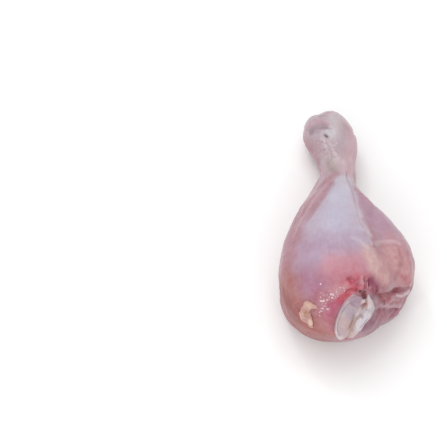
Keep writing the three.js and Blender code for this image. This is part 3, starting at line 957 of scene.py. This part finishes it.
class Recipe:
    """A node material under construction; each call adds one node and returns its output."""

    def __init__(self, name):
        self.material = bpy.data.materials.new(name)
        self.material.use_nodes = True
        self.nodes = self.material.node_tree.nodes
        self.links = self.material.node_tree.links
        self.shader = self.nodes["Principled BSDF"]

    def node(self, kind, output=0, settings=(), **inputs):
        """Adds a node. An input is named by its socket, or _ and its number."""
        node = self.nodes.new(kind)
        for key, value in dict(settings).items():
            setattr(node, key, value)
        for key, value in inputs.items():
            socket = node.inputs[int(key[1:]) if key[0] == "_" else key.replace("_", " ")]
            self.put(socket, value)
        return node.outputs[output]

    def put(self, socket, value):
        """Links another node's output to a socket, or sets a plain value on it."""
        if isinstance(value, bpy.types.NodeSocket):
            self.links.new(value, socket)
        else:
            socket.default_value = value

    def attribute(self, name, output="Color"):
        """What the piece's points carry under that name."""
        return self.node("ShaderNodeAttribute", output, {"attribute_name": name})

    def noise(self, size, detail=3, stretch=(1, 1, 1), roughness=0.5):
        """Noise with lumps of that size in metres, drawn out by the stretch along each axis."""
        where = self.node("ShaderNodeTexCoord", "Object")
        scaled = self.node("ShaderNodeMapping", Vector=where, Scale=[1 / s for s in stretch])
        return self.node(
            "ShaderNodeTexNoise", "Fac", Vector=scaled, Scale=1 / size, Detail=detail,
            Roughness=roughness,
        )

    def ramp(self, value, low, high, start=0.0, end=1.0):
        """Maps low..high of a value onto start..end, and holds it there outside."""
        return self.node(
            "ShaderNodeMapRange", 0, _0=value, _1=low, _2=high, _3=start, _4=end
        )

    def mix(self, share, one, other, blend="MIX"):
        """The first colour with that share of the other laid over it."""
        return self.node(
            "ShaderNodeMix", 2, {"data_type": "RGBA", "blend_type": blend},
            _0=share, _6=one, _7=other,
        )

    def times(self, one, other):
        return self.node("ShaderNodeMath", 0, {"operation": "MULTIPLY"}, _0=one, _1=other)

    def plus(self, one, other):
        return self.node("ShaderNodeMath", 0, {"operation": "ADD"}, _0=one, _1=other)

    def finish(self, base, roughness, height, bump, coat=0.3, **constants):
        """Sets the shader: colour, gloss, a bump that high and a wet coat; whatever is the
        same all over is set on the shader's own socket."""
        self.put(self.shader.inputs["Base Color"], base)
        self.put(self.shader.inputs["Roughness"], roughness)
        self.put(self.shader.inputs["Coat Weight"], coat)
        normal = self.node("ShaderNodeBump", 0, Strength=1.0, Distance=bump, Height=height)
        self.put(self.shader.inputs["Normal"], normal)
        for key, value in constants.items():
            self.shader.inputs[key.replace("_", " ")].default_value = value
        return self.material


def colour_socket(code):
    """A colour for a socket, from its display code."""
    return (*colour(code), 1)


def flesh_material():
    """Flesh under its film: mottled, streaked lengthwise, speckled with fat, glossiest where wet."""
    m = Recipe("raw flesh")
    tint = m.attribute("tint")
    wet = m.attribute("wet", "Fac")
    fatty = m.attribute("fatty", "Fac")
    blotches = m.ramp(m.noise(11 * MM), 0.3, 0.7)
    mottle = m.ramp(m.noise(2.6 * MM, detail=4), 0.3, 0.7)
    fibres = m.ramp(m.noise(1.0 * MM, stretch=(1, 7, 1)), 0.3, 0.7)
    speckles = m.ramp(m.noise(2.2 * MM, detail=4, roughness=0.6), 0.42, 0.68)
    swellings = m.ramp(m.noise(1.6 * MM, detail=1), 0.35, 0.7)
    redder = m.mix(m.times(blotches, 0.3), tint, colour_socket("d8a8b0"), "MULTIPLY")
    paler = m.mix(m.times(mottle, 0.14), redder, colour_socket("d4c6cc"))
    streaked = m.mix(m.times(fibres, 0.13), paler, colour_socket("d0a8b0"), "MULTIPLY")
    base = m.mix(m.times(m.times(speckles, fatty), 0.4), streaked, colour_socket("dcc2bc"))
    grain = m.plus(m.times(mottle, 0.6), m.times(fibres, 0.3))
    fat_grains = m.times(m.times(speckles, fatty), 0.8)
    height = m.plus(m.plus(grain, fat_grains), m.times(m.times(swellings, wet), 3.0))
    return m.finish(
        base, m.ramp(mottle, 0, 1, 0.38, 0.52), height, 0.1 * MM,
        coat=m.ramp(wet, 0, 1, 0.3, 1.0),
        Subsurface_Weight=0.25, Subsurface_Radius=(1.0, 0.4, 0.35), Subsurface_Scale=2.2 * MM,
        Coat_Roughness=0.07, Specular_IOR_Level=0.4, IOR=1.4,
    )


def gristle_material():
    """Clouded, slightly glossy cartilage."""
    m = Recipe("knee gristle")
    tint = m.attribute("tint")
    clouding = m.ramp(m.noise(3.0 * MM, detail=4), 0.3, 0.7)
    grain = m.ramp(m.noise(0.7 * MM), 0.3, 0.7)
    pinker = m.mix(m.times(clouding, 0.3), tint, colour_socket("b08a90"))
    base = m.mix(m.times(grain, 0.2), pinker, colour_socket("d0c8cc"))
    return m.finish(
        base, m.ramp(grain, 0, 1, 0.35, 0.5), m.plus(grain, clouding), 0.1 * MM, coat=0.5,
        Subsurface_Weight=0.3, Subsurface_Radius=(0.8, 0.5, 0.45), Subsurface_Scale=1.5 * MM,
        Coat_Roughness=0.12, Specular_IOR_Level=0.45, IOR=1.4,
    )


def sinew_material():
    """White fibres with pink patches."""
    m = Recipe("white sinew")
    tint = m.attribute("tint")
    fibres = m.ramp(m.noise(0.5 * MM, stretch=(1, 4, 4)), 0.3, 0.7)
    patches = m.ramp(m.noise(2.5 * MM), 0.35, 0.7)
    pinker = m.mix(m.times(patches, 0.25), tint, colour_socket("b89ca0"))
    base = m.mix(m.times(fibres, 0.2), pinker, colour_socket("dcd2d4"))
    return m.finish(
        base, m.ramp(fibres, 0, 1, 0.3, 0.45), fibres, 0.12 * MM, coat=0.6,
        Subsurface_Weight=0.3, Subsurface_Radius=(0.8, 0.6, 0.6), Subsurface_Scale=1.5 * MM,
        Coat_Roughness=0.1, Specular_IOR_Level=0.5, IOR=1.4,
    )


def glint_bead_material():
    """Wet shreds of film, pale as painted highlights, that also catch the light."""
    m = Recipe("pale glint beads")
    clouding = m.ramp(m.noise(0.8 * MM, detail=2), 0.3, 0.7)
    # pale pink to near-white: the colour of a painted highlight for the glints
    base = m.mix(clouding, colour_socket("d0a6b0"), colour_socket("eaced4"))
    return m.finish(
        base, m.ramp(clouding, 0, 1, 0.15, 0.3), clouding, 0.05 * MM, coat=1.0,
        Coat_Roughness=0.05, Specular_IOR_Level=0.6, IOR=1.4,
    )


def fat_material():
    """Soft, wet cream fat."""
    m = Recipe("soft fat")
    tint = m.attribute("tint")
    clouding = m.ramp(m.noise(1.8 * MM, detail=4), 0.3, 0.7)
    base = m.mix(m.times(clouding, 0.3), tint, colour_socket("c8988c"))
    return m.finish(
        base, m.ramp(clouding, 0, 1, 0.3, 0.42), clouding, 0.15 * MM, coat=0.7,
        Subsurface_Weight=0.2, Subsurface_Radius=(1.0, 0.6, 0.5), Subsurface_Scale=1.5 * MM,
        Coat_Roughness=0.08, Specular_IOR_Level=0.5, IOR=1.45,
    )


def blood_material():
    """Dark blood, wet and uneven."""
    m = Recipe("clotted blood")
    clouding = m.ramp(m.noise(0.9 * MM), 0.3, 0.7)
    base = m.mix(clouding, colour_socket("4c121c"), colour_socket("8a2c38"))
    return m.finish(
        base, m.ramp(clouding, 0, 1, 0.2, 0.35), clouding, 0.1 * MM, coat=0.8,
        Subsurface_Weight=0.1, Subsurface_Radius=(1.0, 0.2, 0.2), Subsurface_Scale=1 * MM,
        Coat_Roughness=0.06, Specular_IOR_Level=0.5, IOR=1.38,
    )


def bone_material():
    """Moist bone with a fine lengthwise grain."""
    m = Recipe("moist bone")
    grain = m.ramp(m.noise(1.2 * MM, detail=4, stretch=(1, 5, 1)), 0.3, 0.7)
    base = m.mix(grain, colour_socket("d9cbbf"), colour_socket("e9dfd6"))
    return m.finish(
        base, m.ramp(grain, 0, 1, 0.4, 0.55), grain, 0.08 * MM,
        Subsurface_Weight=0.15, Subsurface_Scale=1.5 * MM, Coat_Roughness=0.2,
    )


# ---- Floor and light ------------------------------------------------------------------


FLOOR_SIZE = 6
FLOOR_TONES = ((0.94, 0.94, 0.94, 1), (0.96, 0.96, 0.96, 1))


def add_floor():
    """A plain pale floor with a faint unevenness of tone."""
    bpy.ops.mesh.primitive_plane_add(size=FLOOR_SIZE, location=(0, 0, 0))
    floor = bpy.context.object
    floor.name = "floor"
    m = Recipe("pale floor")
    tone = m.ramp(m.noise(400 * MM), 0.3, 0.7)
    base = m.mix(tone, *FLOOR_TONES)
    floor.data.materials.append(m.finish(base, 0.8, tone, 0.01 * MM, coat=0.0))


# Soft lights: name, azimuth and elevation in degrees, distance and size in metres, watts.
# The large ones light the whole, and the small ones give the wet film its glints.
SOFTBOXES = (
    ("overhead", 200, 70, 1.2, 0.9, 4.4),
    ("front_fill", -15, 32, 1.2, 0.8, 2.4),
    ("front_left", -42, 34, 1.0, 0.07, 0.7),
    ("front_right", 18, 44, 1.0, 0.05, 0.4),
    ("back_left", -146, 52, 1.0, 0.07, 0.6),
)
SKY_STRENGTH = 0.74


def light_studio():
    """An even white surround, and the soft lights."""
    world = bpy.data.worlds.new("studio")
    world.use_nodes = True
    background = world.node_tree.nodes["Background"]
    background.inputs["Color"].default_value = (1, 1, 1, 1)
    background.inputs["Strength"].default_value = SKY_STRENGTH
    bpy.context.scene.world = world
    for name, azimuth, elevation, distance, size, power in SOFTBOXES:
        data = bpy.data.lights.new(name, "AREA")
        data.size = size
        data.energy = power
        stand(data, (azimuth, elevation), distance)
    bpy.context.scene.view_settings.view_transform = "Standard"


# ---- Put together ---------------------------------------------------------------------

add_camera()
flesh = block_out_flesh()
skin = Surface(flesh)
shape_flesh(flesh, skin)
settle(flesh)
skin = Surface(flesh)
paint(flesh, "b38890", *SIDE_WASHES, (SIGHT, FLESH_WASHES))
mark(flesh, skin, "wet", WET_PLACES)
mark(flesh, skin, "fatty", FATTY_PLACES)
finished(flesh, "raw_flesh", flesh_material(), "meat")

gristle = gristle_material()
sinew = sinew_material()

cartilage = knee_cartilage()
paint(cartilage, "c6b0b4", (SIGHT, CARTILAGE_WASHES))
finished(cartilage, "gristle", gristle, "knee_gristle")

band = knee_band(skin)
paint(band, "cabdc2", (SIGHT, BAND_WASHES))
finished(band, "gristle", sinew, "knee_ligament")

white_lines = sinews(skin)
paint(white_lines, "c48c96")
finished(white_lines, "sinew", sinew)

fat = fat_pad(skin)
paint(fat, "bf9089", (SIGHT, FAT_WASHES))
finished(fat, "fat", fat_material())

finished(clots(skin), "blood", blood_material())
finished(glint_beads(skin), "sinew", glint_bead_material())

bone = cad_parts["shin_bone"]
bone.data.materials.clear()
bone.data.materials.append(bone_material())

add_floor()
light_studio()
